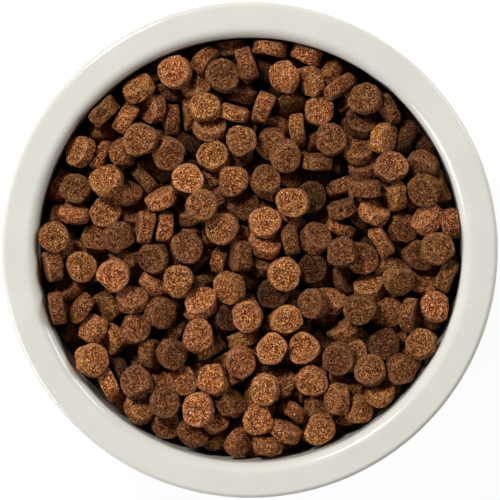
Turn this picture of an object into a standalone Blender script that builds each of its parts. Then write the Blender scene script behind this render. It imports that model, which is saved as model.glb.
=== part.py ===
"""A white glazed stoneware feeding bowl, filled to its rim with round pieces of dry food.

The bowl is one turned solid. The food is a heap of short round pieces. The ones that lie on top are
solids of their own, and the ones that they lie on are joined to the bed of food below.
"""
import math
import random
from collections import namedtuple

import bmesh
import bpy
import numpy as np
from mathutils import Matrix, Vector
from mathutils.bvhtree import BVHTree
from mathutils.geometry import delaunay_2d_cdt

# Bowl, in metres
RIM_DIAMETER = 0.160
BOWL_HEIGHT = 0.058
RIM_WIDTH = 0.0114
MOUTH_DIAMETER = RIM_DIAMETER - 2 * RIM_WIDTH
SHOULDER_RADIUS = 0.0036
LIP_RADIUS = 0.0016
WALL_LEAN = math.radians(1.5)
OUTSIDE_LEAN = math.radians(8)
BOTTOM_THICKNESS = 0.0075
INSIDE_FILLET = 0.016
HEEL_RADIUS = 0.008
FOOT_SETBACK = 0.0034
FOOT_WIDTH = 0.006
FOOT_HEIGHT = 0.0025
FOOT_DRAFT = 0.0010
TURN_STEPS = 56
ARC_STEPS = 4

# Food, in metres
PIECE_DIAMETER = 0.0102
PIECE_THICKNESS = 0.0050
PIECE_EDGE = 0.0011
SIZE_SPREAD = 0.045
HEAP_DEPTH = 0.016
HEAP_TOP = 0.0014
HEAP_FALL = 0.0022
PACKING_SHARE = 0.54
SEAT_GAP = 0.00025
PACKING_GAP = 0.0009
LOOSE_SIDES = 9
JOINED_SIDES = 8
BED_EDGE_KNOTS = 32
KNOT_DEPTH = 0.6
SHOWING_SHARE = 0.18
FLAT_SHARE = 0.5
FLAT_TILT = 25
HIDDEN_DEPTH = 0.008
EDGE_DEPTH = 0.0045
SEED = 5

# Packing of the heap
BALLS_ROUND_EDGE = 6
PACKING_STEPS = 200
FREE_STEPS = 60
HOLD_ON_TOP = 0.12
HOLD_BELOW = 0.06
FALL_STEP = 0.00003
MOVE_GAIN = 1.5
TURN_LIMIT = 0.25
LOWER_LAYER = 0.0045
LAYER_CELL = 0.0005

# Search for a loose piece's seat
SEAT_STEP = 0.0004
SEAT_SHIFT = 0.0005
SEAT_RINGS = 4
SEAT_WAYS = 6
SEAT_HALVINGS = 4
SEAT_TILTS = (1.0, 0.7, 0.4)
SEAT_ALLOWANCE = 0.0006

# Where the photograph shows the pieces: pixels right and down, then tilt and heading in degrees
RIM_CENTRE_PIXEL = (249.5, 250.2)
MOUTH_RADIUS_PIXELS = 212.9
ON_TOP = [
    (138, 86, 42, 95), (103, 111, 80, 127), (145, 139, 15, 120), (82, 153, 22, 150),
    (181, 71, 25, 150), (226, 72, 38, 80), (206, 109.5, 12, 140), (266, 108, 55, -45),
    (242, 141, 14, 100), (284, 155, 12, 90), (331, 143, 20, 150), (365, 95, 14, 130),
    (398, 160, 40, 70), (76, 189, 30, 130), (55, 231, 18, 160), (110, 182, 30, 100),
    (115, 234, 14, 100), (50, 267, 65, 180), (82, 266, 25, 110), (113, 279, 16, 140),
    (59, 313, 70, 165), (178, 289, 25, 120), (184, 178, 15, 120), (204, 207, 14, 120),
    (266, 182, 10, 60), (293, 202, 12, 180), (229, 232, 12, 120), (268, 228, 12, 90),
    (182, 245, 22, 60), (284, 271, 16, 30), (228, 286, 18, 160), (249, 320, 12, 120),
    (287, 321, 14, 90), (317, 305, 20, 110), (340, 250, 10, 100), (365, 196, 78, 95),
    (438, 248, 16, 60), (398, 277, 40, 30), (358, 308, 12, 150), (435, 307, 28, 90),
    (87, 358, 28, 0), (172, 359, 60, -10), (164, 401, 30, 60), (200, 331, 14, 90),
    (241, 361, 12, 90), (270, 350, 14, 130), (303, 355, 14, 110), (268, 389, 14, 120),
    (215, 380, 30, 90), (312, 386, 28, -90), (193, 406, 10, 120), (253, 421, 15, -60),
    (340, 358, 16, 110), (376, 371, 25, 120), (403, 374, 30, 0), (425, 340, 14, 120),
    (167, 150, 65, -35), (140, 382, 65, 110),
]
BESIDE = [
    (127, 118, 75, 0), (149, 109, 45, 170), (121, 155, 62, 0), (206, 61, 65, -25),
    (247, 61, 68, 10), (269, 46, 80, 85), (284, 75, 62, 205), (309, 78, 32, 190),
    (237, 116, 75, 100), (213, 154, 24, 120), (338, 86, 80, 145), (391, 107, 72, 170),
    (383, 135, 48, 0), (430, 165, 30, 170), (74, 213, 28, 80), (146, 227, 65, 170),
    (162, 226, 62, 170), (150, 257, 38, 180), (132, 299, 25, 70), (82, 309, 65, 120),
    (158, 313, 50, -20), (92, 328, 18, 120), (133, 330, 35, 60), (231, 181, 10, 90),
    (291, 238, 80, 175), (315, 238, 42, 80), (240, 258, 70, 160), (201, 305, 30, 90),
    (373, 211, 62, 80), (397, 197, 55, 200), (426, 190, 14, 90), (430, 221, 30, 150),
    (454, 225, 72, 0), (381, 240, 75, 25), (447, 275, 78, 145), (407, 317, 82, 0),
    (113, 385, 70, 36), (150, 359, 62, 0), (136, 413, 45, 60), (192, 436, 32, 60),
    (240, 445, 50, -40), (267, 450, 50, 80), (286, 431, 45, 70), (320, 432, 22, -60),
    (380, 398, 38, 100), (362, 412, 30, 0), (317, 160, 75, 95), (158, 201, 70, 120),
]
BELOW = [
    (106, 139, 70, 90), (128, 196, 30, 80), (195, 88, 20, 120), (211, 132, 78, 85),
    (293, 105, 45, -60), (312, 108, 20, 150), (296, 130, 70, 20), (273, 141, 16, 170),
    (329, 68, 40, 100), (410, 141, 48, 200), (357, 117, 35, 120), (367, 163, 45, 60),
    (358, 150, 35, 80), (106, 210, 25, 150), (262, 259, 14, 120), (416, 253, 20, 150),
    (112, 309, 60, 200), (272, 294, 30, 100), (71, 290, 35, 140), (151, 284, 25, 100),
    (218, 416, 45, 0), (370, 288, 55, 110), (387, 317, 40, 180), (172, 121, 60, 170),
    (333, 300, 30, 60), (305, 203, 14, 0), (200, 263, 60, -70), (126, 260, 70, 100),
    (69, 257, 20, 150), (93, 243, 60, 60), (404, 228, 20, 40), (361, 259, 25, -50),
    (114, 338, 55, 180), (120, 325, 70, 160), (385, 340, 58, 80), (343, 330, 30, 100),
    (411, 370, 30, 0), (231, 49, 70, 70), (310, 56, 30, 80), (343, 226, 52, -70),
    (247, 209, 50, 90), (425, 282, 40, 90), (190, 142, 60, 70), (139, 186, 70, 180),
    (55, 190, 60, 170), (170, 95, 65, 90), (230, 322, 30, 0), (240, 345, 30, 100),
    (212, 354, 45, -80), (265, 68, 70, 0), (237, 93, 40, 80), (180, 383, 30, 90),
    (280, 380, 40, 60), (350, 355, 30, 20), (318, 405, 35, 90), (288, 411, 60, 90),
    (245, 395, 50, 170), (343, 411, 74, 170), (340, 213, 50, 90), (445, 190, 30, 0),
    (230, 399, 30, 0), (166, 425, 40, 250), (124, 368, 60, 30), (160, 386, 40, 200),
    (352, 386, 35, 90),
]

Piece = namedtuple("Piece", "place axis radius half")


# Bowl
def arc(centre, radius, start, end, steps):
    """Points of an arc in the turning plane, angles in radians from the outward direction."""
    angles = [start + (end - start) * n / steps for n in range(steps + 1)]
    return [(centre[0] + radius * math.cos(a), centre[1] + radius * math.sin(a)) for a in angles]


def wall_radius(height):
    """Radius of the straight part of the bowl's inner wall at a height."""
    below_shoulder = BOWL_HEIGHT - SHOULDER_RADIUS - height
    return MOUTH_DIAMETER / 2 - below_shoulder * math.tan(WALL_LEAN)


def fillet_centre():
    """Centre of the arc that joins the inner bottom to the inner wall."""
    height = FOOT_HEIGHT + BOTTOM_THICKNESS + INSIDE_FILLET
    return wall_radius(height) - INSIDE_FILLET / math.cos(WALL_LEAN), height


def inner_radius(height):
    """Radius of the bowl's hollow at a height, on the fillet or on the wall above it."""
    centre_radius, centre_height = fillet_centre()
    down = centre_height - height
    if down < INSIDE_FILLET * math.sin(WALL_LEAN):
        return wall_radius(height)
    return centre_radius + math.sqrt(max(INSIDE_FILLET ** 2 - down ** 2, 0))


def inside_points(clearance, top):
    """Inner bottom, fillet and wall up to a height, held off the bowl by a clearance."""
    centre_radius, centre_height = fillet_centre()
    fillet = INSIDE_FILLET - clearance
    end = -WALL_LEAN
    if top < centre_height - fillet * math.sin(WALL_LEAN):
        end = -math.asin(min((centre_height - top) / fillet, 1))
    points = [(0, centre_height - fillet)]
    points += arc((centre_radius, centre_height), fillet, -math.pi / 2, end, ARC_STEPS)
    if end == -WALL_LEAN:
        points.append((wall_radius(top) - clearance / math.cos(WALL_LEAN), top))
    return points


def bowl_profile():
    """Section of the bowl, from the middle of the inside, over the rim, to the middle underneath."""
    shoulder_height = BOWL_HEIGHT - SHOULDER_RADIUS
    shoulder = (wall_radius(shoulder_height) + SHOULDER_RADIUS / math.cos(WALL_LEAN), shoulder_height)
    lip = (RIM_DIAMETER / 2 - LIP_RADIUS, BOWL_HEIGHT - LIP_RADIUS)
    heel_height = FOOT_HEIGHT + HEEL_RADIUS
    lean = math.tan(OUTSIDE_LEAN)
    lip_side = lip[0] + LIP_RADIUS / math.cos(OUTSIDE_LEAN)
    heel = (lip_side - (lip[1] - heel_height) * lean - HEEL_RADIUS / math.cos(OUTSIDE_LEAN), heel_height)
    foot = heel[0] - FOOT_SETBACK
    points = inside_points(0, shoulder_height)[:-1]
    points += arc(shoulder, SHOULDER_RADIUS, math.pi - WALL_LEAN, math.pi / 2, ARC_STEPS)
    points += arc(lip, LIP_RADIUS, math.pi / 2, -OUTSIDE_LEAN, ARC_STEPS)
    points += arc(heel, HEEL_RADIUS, -OUTSIDE_LEAN, -math.pi / 2, ARC_STEPS)
    points += [(foot, FOOT_HEIGHT), (foot - FOOT_DRAFT, 0), (foot - FOOT_WIDTH + FOOT_DRAFT, 0)]
    points += [(foot - FOOT_WIDTH, FOOT_HEIGHT), (0, FOOT_HEIGHT)]
    return points


def turned(name, points):
    """A solid of revolution from a profile that starts and ends on the axis."""
    mesh = bpy.data.meshes.new(name)
    mesh.from_pydata([(r, 0, z) for r, z in points], [(n, n + 1) for n in range(len(points) - 1)], [])
    item = bpy.data.objects.new(name, mesh)
    screw = item.modifiers.new("Turn", "SCREW")
    screw.steps = TURN_STEPS
    screw.render_steps = TURN_STEPS
    screw.use_merge_vertices = True
    screw.merge_threshold = 0.00002
    return item


# Heap of food
def heap_height(radius):
    """Height of the heap's top at a distance from the bowl's axis."""
    share = radius / (MOUTH_DIAMETER / 2)
    return BOWL_HEIGHT - HEAP_TOP - HEAP_FALL * share ** 2


def upward_reach(piece):
    """How far a piece reaches above its middle."""
    upright = piece.axis[2]
    return piece.half * upright + piece.radius * math.sqrt(max(1 - upright ** 2, 0))


def new_piece(rng, x, y, tilt, heading):
    """A piece with its own small difference in size, at the bowl's foot for now."""
    axis = (math.sin(tilt) * math.cos(heading), math.sin(tilt) * math.sin(heading), math.cos(tilt))
    radius = PIECE_DIAMETER / 2 * rng.uniform(1 - SIZE_SPREAD, 1 + SIZE_SPREAD)
    half = PIECE_THICKNESS / 2 * rng.uniform(1 - 2 * SIZE_SPREAD, 1 + 2 * SIZE_SPREAD)
    return Piece((x, y, 0), axis, radius, half)


def seen_pieces(rng, rows, sink):
    """Pieces at the places that the photograph shows, their tops a little below the heap's top."""
    scale = MOUTH_DIAMETER / 2 / MOUTH_RADIUS_PIXELS
    pieces = []
    for right, down, tilt, heading in rows:
        x = (right - RIM_CENTRE_PIXEL[0]) * scale
        y = (RIM_CENTRE_PIXEL[1] - down) * scale
        piece = new_piece(rng, x, y, math.radians(tilt), math.radians(heading))
        height = heap_height(math.hypot(x, y)) - upward_reach(piece) - sink
        pieces.append(piece._replace(place=(x, y, height)))
    return pieces


def hidden_pieces(rng, count):
    """Pieces of the lower layers, spread evenly on a spiral, each turned at random."""
    turn = math.pi * (3 - math.sqrt(5))
    pieces = []
    for n in range(count):
        radius = (MOUTH_DIAMETER - PIECE_DIAMETER) / 2 * math.sqrt((n + 0.5) / count)
        lies_flat = rng.random() < FLAT_SHARE
        tilt = rng.uniform(0, FLAT_TILT) if lies_flat else rng.uniform(FLAT_TILT, 90)
        heading = rng.uniform(0, 2 * math.pi)
        x, y = radius * math.cos(n * turn), radius * math.sin(n * turn)
        piece = new_piece(rng, x, y, math.radians(tilt), heading)
        height = heap_height(radius) - rng.uniform(HIDDEN_DEPTH, HEAP_DEPTH - PIECE_THICKNESS / 2)
        pieces.append(piece._replace(place=(x, y, height)))
    return pieces


def ball_arms(axis, ring):
    """Offsets from each piece's middle to the balls that stand for it: one inside and a ring."""
    steep = np.abs(axis[:, 2:3]) < 0.9
    other = np.where(steep, np.array([[0.0, 0.0, 1.0]]), np.array([[1.0, 0.0, 0.0]]))
    across = np.cross(axis, other)
    across /= np.sqrt((across ** 2).sum(1))[:, None]
    along = np.cross(axis, across)
    angles = np.arange(BALLS_ROUND_EDGE) * 2 * math.pi / BALLS_ROUND_EDGE
    edge = across[:, None] * np.cos(angles)[None, :, None] + along[:, None] * np.sin(angles)[None, :, None]
    return np.concatenate([np.zeros((len(axis), 1, 3)), edge * ring[:, None, None]], axis=1)


def push_apart(place, arms, ball, reach):
    """Pushes between balls of different pieces that overlap, and how many each ball feels."""
    balls = place[:, None] + arms
    distance = np.sqrt(((place[:, None] - place[None]) ** 2).sum(2))
    first, second = np.nonzero(np.triu(distance < reach[:, None] + reach[None], 1))
    between = balls[first][:, :, None] - balls[second][:, None]
    apart = np.sqrt((between ** 2).sum(3)) + 1e-9
    overlap = np.clip(ball[first][:, None, None] + ball[second][:, None, None] - apart, 0, None)
    half_push = between / apart[..., None] * overlap[..., None] / 2
    push = np.zeros_like(arms)
    felt = np.zeros(arms.shape[:2])
    np.add.at(push, first, half_push.sum(2))
    np.add.at(push, second, -half_push.sum(1))
    np.add.at(felt, first, (overlap > 0).sum(2))
    np.add.at(felt, second, (overlap > 0).sum(1))
    return push, felt


def push_inside(place, arms, ball, push, felt):
    """Adds the pushes of the bowl's wall and of the food under the heap."""
    balls = place[:, None] + arms
    outward = np.hypot(balls[..., 0], balls[..., 1]) + 1e-9
    clear = SEAT_GAP + ball[:, None] - PACKING_GAP / 2
    wall = np.minimum(wall_radius(balls[..., 2]), MOUTH_DIAMETER / 2) - clear
    past = np.clip(outward - wall, 0, None)
    push[..., 0] -= balls[..., 0] / outward * past
    push[..., 1] -= balls[..., 1] / outward * past
    under = np.clip(heap_height(outward) - HEAP_DEPTH + ball[:, None] - balls[..., 2], 0, None)
    push[..., 2] += under
    felt += (past > 0).astype(float) + (under > 0)


def packed(pieces, held):
    """Pieces eased apart until none overlap, the held ones staying near where they were seen."""
    place = np.array([p.place for p in pieces], dtype=float)
    axis = np.array([p.axis for p in pieces], dtype=float)
    radius = np.array([p.radius for p in pieces])
    half = np.array([p.half for p in pieces])
    held = np.array(held)
    ball = half + PACKING_GAP / 2
    ring = np.maximum(radius - half, half / 4)
    home, home_axis = place.copy(), axis.copy()
    for step in range(PACKING_STEPS):
        arms = ball_arms(axis, ring)
        push, felt = push_apart(place, arms, ball, radius + PACKING_GAP)
        push_inside(place, arms, ball, push, felt)
        count = np.maximum(felt.sum(1), 1)[:, None]
        turn = np.cross(arms, push).sum(1) / (count * (ring ** 2)[:, None])
        turn *= np.minimum(1, TURN_LIMIT / np.maximum(np.sqrt((turn ** 2).sum(1)), 1e-9))[:, None]
        place = place + push.sum(1) / count * MOVE_GAIN
        if step < PACKING_STEPS - FREE_STEPS:
            place = place + (home - place) * held[:, None]
            place[:, 2] -= np.where(held == 0, FALL_STEP, 0)
            axis = axis + (home_axis - axis) * held[:, None] / 2
        axis = axis + np.cross(turn, axis)
        axis = axis / np.sqrt((axis ** 2).sum(1))[:, None]
        place = np.round(place, 8)
        axis = np.round(axis, 8)
    axis = axis * np.where(axis[:, 2:3] < 0, -1, 1)
    rows = zip(pieces, place.tolist(), axis.tolist())
    return [inside_bowl(p._replace(place=tuple(where), axis=tuple(way))) for p, where, way in rows]


def inside_bowl(piece):
    """The piece moved towards the axis, if it has to, until it is clear of the bowl's wall."""
    x, y, z = piece.place
    outward = math.hypot(x, y)
    along = abs(piece.axis[0] * x + piece.axis[1] * y) / max(outward, 1e-9)
    reach = piece.half * along + piece.radius * math.sqrt(max(1 - along ** 2, 0))
    lowest = z - upward_reach(piece)
    limit = min(wall_radius(lowest), MOUTH_DIAMETER / 2) - SEAT_GAP - reach
    share = min(1, max(limit, 0) / max(outward, 1e-9))
    return piece._replace(place=(x * share, y * share, z))


def showing_shares(pieces):
    """Share of each piece's round face that shows from above."""
    half_cells = int(RIM_DIAMETER / 2 / LAYER_CELL)
    top = np.full((2 * half_cells + 1, 2 * half_cells + 1), -1.0)
    owner = np.full(top.shape, -1)
    for number, piece in enumerate(pieces):
        x, y, z = piece.place
        ax, ay, az = piece.axis
        az = max(az, 1e-4)
        column = int(round(x / LAYER_CELL)) + half_cells
        row = int(round(y / LAYER_CELL)) + half_cells
        reach = int((piece.radius + piece.half) / LAYER_CELL) + 1
        rows = slice(max(row - reach, 0), row + reach + 1)
        columns = slice(max(column - reach, 0), column + reach + 1)
        grid_y, grid_x = np.mgrid[rows, columns][:, :top[rows, columns].shape[0], :top[rows, columns].shape[1]]
        dx = (grid_x - half_cells) * LAYER_CELL - x
        dy = (grid_y - half_cells) * LAYER_CELL - y
        along = dx * ax + dy * ay
        flat = max(1 - az * az, 1e-7)
        room = (along * az) ** 2 - flat * (dx ** 2 + dy ** 2 - along ** 2 - piece.radius ** 2)
        root = np.sqrt(np.clip(room, 0, None))
        low = np.maximum((along * az - root) / flat, (-piece.half - along) / az)
        high = np.minimum((along * az + root) / flat, (piece.half - along) / az)
        covers = (room > 0) & (low < high) & (z + high > top[rows, columns])
        top[rows, columns] = np.where(covers, z + high, top[rows, columns])
        owner[rows, columns] = np.where(covers, number, owner[rows, columns])
    cells = np.bincount(owner[owner >= 0], minlength=len(pieces))
    return [n * LAYER_CELL ** 2 / (math.pi * p.radius ** 2) for n, p in zip(cells, pieces)]


def heap():
    """The loose pieces on top, and the pieces under them that show from above."""
    rng = random.Random(SEED)
    on_top = seen_pieces(rng, ON_TOP, 0)
    beside = seen_pieces(rng, BESIDE, 0)
    below = seen_pieces(rng, BELOW, LOWER_LAYER)
    one = math.pi * (PIECE_DIAMETER / 2) ** 2 * PIECE_THICKNESS
    room = math.pi * (MOUTH_DIAMETER / 2) ** 2 * HEAP_DEPTH
    seen = len(on_top) + len(beside) + len(below)
    hidden = hidden_pieces(rng, max(int(PACKING_SHARE * room / one) - seen, 0))
    held = [HOLD_ON_TOP] * (len(on_top) + len(beside)) + [HOLD_BELOW] * len(below) + [0.0] * len(hidden)
    pieces = packed(on_top + beside + below + hidden, held)
    shares = showing_shares(pieces)
    joined = [p for p, share in zip(pieces, shares) if share > SHOWING_SHARE and p not in pieces[:len(on_top)]]
    return pieces[:len(on_top)], joined


# Meshes of the food
def piece_matrix(piece):
    """Place and turn of a piece whose mesh stands upright about its own middle."""
    turn = Vector((0, 0, 1)).rotation_difference(Vector(piece.axis))
    return Matrix.Translation(piece.place) @ turn.to_matrix().to_4x4()


def upright_piece(piece, sides, swell=0.0):
    """Mesh data of one many-sided piece, with an allowance all round."""
    radius = piece.radius + swell
    shape = bmesh.new()
    bmesh.ops.create_cone(shape, cap_ends=True, segments=sides, radius1=radius, radius2=radius,
                          depth=2 * (piece.half + swell))
    return shape


def bevelled_piece(piece, swell):
    """Mesh data of a loose piece with its two round edges bevelled."""
    shape = upright_piece(piece, LOOSE_SIDES, swell)
    edges = [e for e in shape.edges if abs(e.verts[0].co.z - e.verts[1].co.z) < piece.half]
    bmesh.ops.bevel(shape, geom=edges, offset=PIECE_EDGE, segments=1, affect="EDGES")
    return shape


def piece_object(name, piece, sides):
    """An object for one piece, set where the piece lies."""
    shape = upright_piece(piece, sides)
    mesh = bpy.data.meshes.new(name)
    shape.to_mesh(mesh)
    shape.free()
    item = bpy.data.objects.new(name, mesh)
    item.matrix_world = piece_matrix(piece)
    return item


def bed_surface(loose, joined, collection):
    """The top of the bed: a faceted sheet through the joined pieces, closed to a thick slab."""
    slab_bottom = heap_height(MOUTH_DIAMETER / 2) - HEAP_DEPTH - PIECE_THICKNESS
    ring_height = heap_height(MOUTH_DIAMETER / 2) - EDGE_DEPTH
    edge = inner_radius(ring_height) - 2 * SEAT_GAP
    taper = (inner_radius(slab_bottom) - 2 * SEAT_GAP) / edge
    knots = [(p.place[0], p.place[1], p.place[2] - upward_reach(p) * KNOT_DEPTH) for p in joined]
    knots += [(p.place[0], p.place[1], p.place[2] - upward_reach(p) - PIECE_THICKNESS / 4) for p in loose]
    knots = [k for k in knots if math.hypot(k[0], k[1]) < edge - PIECE_THICKNESS / 2]
    for n in range(BED_EDGE_KNOTS):
        angle = 2 * math.pi * n / BED_EDGE_KNOTS
        knots.append((edge * math.cos(angle), edge * math.sin(angle), ring_height))
    flat = [Vector(k[:2]) for k in knots]
    found, _, faces, origins, _, _ = delaunay_2d_cdt(flat, [], [], 0, 1e-7)
    shape = bmesh.new()
    corners = [shape.verts.new((p.x, p.y, knots[origin[0]][2])) for p, origin in zip(found, origins)]
    for face in faces:
        shape.faces.new([corners[n] for n in face])
    bmesh.ops.recalc_face_normals(shape, faces=shape.faces)
    if sum(face.normal.z for face in shape.faces) < 0:
        bmesh.ops.reverse_faces(shape, faces=shape.faces)
    sheet = list(shape.faces)
    bottom = bmesh.ops.extrude_face_region(shape, geom=sheet, use_keep_orig=True)
    for item in bottom["geom"]:
        if isinstance(item, bmesh.types.BMVert):
            item.co = (item.co.x * taper, item.co.y * taper, slab_bottom)
    bmesh.ops.recalc_face_normals(shape, faces=shape.faces)
    mesh = bpy.data.meshes.new("bed_surface")
    shape.to_mesh(mesh)
    shape.free()
    item = bpy.data.objects.new("bed_surface", mesh)
    collection.objects.link(item)
    return slab_bottom


def as_guide(item):
    """Marks an object that shapes another and is no part itself."""
    item.hide_render = True
    item.display_type = "WIRE"


def without_pockets(item):
    """Replaces an object's mesh by its outer skin, so that no sealed pocket is left inside."""
    shown = item.evaluated_get(bpy.context.evaluated_depsgraph_get())
    shape = bmesh.new()
    shape.from_mesh(shown.to_mesh())
    shown.to_mesh_clear()
    skins = []
    left = set(shape.faces)
    while left:
        skin = {left.pop()}
        edge_of_search = list(skin)
        while edge_of_search:
            near = {f for e in edge_of_search.pop().edges for f in e.link_faces} - skin
            skin |= near
            edge_of_search += near
        left -= skin
        skins.append(skin)
    outer = max(skins, key=lambda skin: sum(f.calc_area() for f in skin))
    bmesh.ops.delete(shape, geom=[f for skin in skins if skin is not outer for f in skin], context="FACES")
    shape.to_mesh(item.data)
    shape.free()
    item.modifiers.clear()


def world_mesh(item):
    """Corners and faces of an object as it is shown, in world space."""
    shown = item.evaluated_get(bpy.context.evaluated_depsgraph_get())
    mesh = shown.to_mesh()
    corners = [item.matrix_world @ v.co for v in mesh.vertices]
    faces = [tuple(p.vertices) for p in mesh.polygons]
    shown.to_mesh_clear()
    return corners, faces


class Seat:
    """Finds how low a loose piece can lie, clear of all that lies there already."""

    def __init__(self, items):
        self.fixed = [BVHTree.FromPolygons(*world_mesh(item)) for item in items]
        self.taken = []

    def meets(self, corners, faces, middle):
        moved = BVHTree.FromPolygons([c + middle for c in corners], faces)
        near = [tree for tree, where in self.taken if (where - middle).length < 1.5 * PIECE_DIAMETER]
        return any(tree.overlap(moved) for tree in self.fixed + near)

    def lowest(self, corners, faces, middle):
        """Height of the seat straight below a place, found from above and then halved in on."""
        middle = middle.copy()
        while self.meets(corners, faces, middle):
            middle.z += 2 * SEAT_STEP
        while not self.meets(corners, faces, middle - Vector((0, 0, SEAT_STEP))) and middle.z > 0:
            middle.z -= SEAT_STEP
        clear, blocked = middle.z, middle.z - SEAT_STEP
        for _ in range(SEAT_HALVINGS):
            middle.z = (clear + blocked) / 2
            if self.meets(corners, faces, middle):
                blocked = middle.z
            else:
                clear = middle.z
        return clear

    def shifts(self):
        """Sideways moves to try, the shortest first."""
        yield 0.0, 0.0
        for ring in range(1, SEAT_RINGS):
            for n in range(SEAT_WAYS):
                angle = math.pi * (2 * n + ring) / SEAT_WAYS
                yield ring * SEAT_SHIFT * math.cos(angle), ring * SEAT_SHIFT * math.sin(angle)

    def place(self, piece):
        """The piece at a low seat near its place, which then counts as taken."""
        packed_top = piece.place[2] + upward_reach(piece)
        best = None
        for share in SEAT_TILTS:
            turned_piece = tilted_less(piece, share)
            corners, faces = turned_mesh(turned_piece)
            for shift_x, shift_y in self.shifts():
                middle = Vector(piece.place) + Vector((shift_x, shift_y, SEAT_STEP))
                middle.z = self.lowest(corners, faces, middle)
                top = middle.z + upward_reach(turned_piece)
                cost = top + math.hypot(shift_x, shift_y) / 2 + PIECE_THICKNESS * (1 - share) / 4
                if best is None or cost < best[0]:
                    best = (cost, turned_piece, middle, corners, faces)
                if best[0] < packed_top + SEAT_ALLOWANCE:
                    break
            if best[0] < packed_top + SEAT_ALLOWANCE:
                break
        _, seated, middle, corners, faces = best
        self.taken.append((BVHTree.FromPolygons([c + middle for c in corners], faces), middle))
        return seated._replace(place=tuple(round(v, 7) for v in middle))


def tilted_less(piece, share):
    """The piece with only a share of its tilt, towards the same side."""
    tilt = math.acos(min(piece.axis[2], 1)) * share
    heading = math.atan2(piece.axis[1], piece.axis[0])
    axis = (math.sin(tilt) * math.cos(heading), math.sin(tilt) * math.sin(heading), math.cos(tilt))
    return piece._replace(axis=axis)


def turned_mesh(piece):
    """Corners and faces of a loose piece with the seat's clearance, turned but not yet placed."""
    shape = bevelled_piece(piece, SEAT_GAP)
    turn = piece_matrix(piece).to_3x3()
    corners = [turn @ v.co for v in shape.verts]
    faces = [tuple(v.index for v in f.verts) for f in shape.faces]
    shape.free()
    return corners, faces


# Materials
def finish(name, colour, roughness):
    """A Principled material with one colour and roughness."""
    material = bpy.data.materials.new(name)
    material.use_nodes = True
    shader = material.node_tree.nodes["Principled BSDF"]
    shader.inputs["Base Color"].default_value = (*colour, 1)
    shader.inputs["Roughness"].default_value = roughness
    shader.inputs["Metallic"].default_value = 0
    material.diffuse_color = (*colour, 1)
    return material


def shade(item):
    """Smooth shading with sharp edges kept."""
    item.data.shade_smooth()
    item.data.set_sharp_from_angle(angle=math.radians(35))


def make_bowl(parts):
    bowl = turned("bowl", bowl_profile())
    bowl.data.materials.append(finish("white_glaze", (0.73, 0.71, 0.62), 0.15))
    parts.objects.link(bowl)
    shade(bowl)
    return bowl


def make_bed(parts, guides, loose, joined):
    """The bed: food that fills the bowl, with the joined pieces standing out of its top."""
    slab_bottom = bed_surface(loose, joined, guides)
    fill_top = slab_bottom + PIECE_THICKNESS / 2
    fill = inside_points(SEAT_GAP, fill_top) + [(0, fill_top)]
    bed = turned("kibble_bed", fill[::-1])
    bed.data.materials.append(finish("brown_food", (0.24, 0.10, 0.035), 0.85))
    parts.objects.link(bed)
    for n, piece in enumerate(joined):
        guides.objects.link(piece_object(f"joined_{n:03d}", piece, JOINED_SIDES))
    for item in guides.objects:
        as_guide(item)
    union = bed.modifiers.new("Heap", "BOOLEAN")
    union.operation = "UNION"
    union.operand_type = "COLLECTION"
    union.collection = guides
    union.solver = "EXACT"
    bpy.context.view_layer.update()
    without_pockets(bed)
    return bed


def make_loose(parts, loose, items):
    """The loose pieces, from the lowest to the highest, each set down on what lies there."""
    seat = Seat(items)
    brown = finish("baked_food", (0.30, 0.13, 0.05), 0.8)
    order = sorted(loose, key=lambda p: round(p.place[2] - upward_reach(p), 6))
    for n, piece in enumerate(order, 1):
        item = piece_object(f"kibble_{n:02d}", seat.place(piece), LOOSE_SIDES)
        edge = item.modifiers.new("Edge", "BEVEL")
        edge.width = PIECE_EDGE
        edge.segments = 1
        edge.limit_method = "ANGLE"
        edge.angle_limit = math.radians(60)
        item.data.materials.append(brown)
        parts.objects.link(item)
        shade(item)


def main():
    for item in list(bpy.data.objects):
        bpy.data.objects.remove(item, do_unlink=True)
    parts = bpy.data.collections.new("filled_feeding_bowl")
    guides = bpy.data.collections.new("joined_pieces")
    bpy.context.scene.collection.children.link(parts)
    bpy.context.scene.collection.children.link(guides)
    loose, joined = heap()
    bowl = make_bowl(parts)
    bed = make_bed(parts, guides, loose, joined)
    bpy.context.view_layer.update()
    make_loose(parts, loose, [bowl, bed])


main()
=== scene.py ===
"""Dresses the filled feeding bowl: a turned, glazed bowl, and each piece of food as a rough body of its own.

The pieces on top take their places from the model's nodes. The ones under them are laid out again from
the same sizes and the same seed as the model's, so they lie where its bed of food has them.
"""
import math
import random
from collections import namedtuple

import bpy
import numpy as np
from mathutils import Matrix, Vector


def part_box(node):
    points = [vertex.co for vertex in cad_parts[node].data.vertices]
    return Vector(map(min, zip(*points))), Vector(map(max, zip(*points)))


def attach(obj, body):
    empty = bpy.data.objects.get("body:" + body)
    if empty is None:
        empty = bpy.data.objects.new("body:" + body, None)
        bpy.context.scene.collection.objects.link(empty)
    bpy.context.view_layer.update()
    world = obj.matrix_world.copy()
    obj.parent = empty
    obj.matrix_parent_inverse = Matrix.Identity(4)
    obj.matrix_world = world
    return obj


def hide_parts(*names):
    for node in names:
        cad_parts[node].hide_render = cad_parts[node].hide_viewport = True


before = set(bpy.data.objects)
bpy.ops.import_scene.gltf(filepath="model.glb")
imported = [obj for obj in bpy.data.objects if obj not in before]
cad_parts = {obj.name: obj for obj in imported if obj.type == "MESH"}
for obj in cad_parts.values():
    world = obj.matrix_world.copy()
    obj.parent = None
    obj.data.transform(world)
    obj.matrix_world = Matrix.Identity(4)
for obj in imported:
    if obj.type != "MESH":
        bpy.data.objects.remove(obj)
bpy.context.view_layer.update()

# Bowl, in metres
RIM_DIAMETER = 0.160
BOWL_HEIGHT = 0.058
RIM_WIDTH = 0.0114
MOUTH_DIAMETER = RIM_DIAMETER - 2 * RIM_WIDTH
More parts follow.
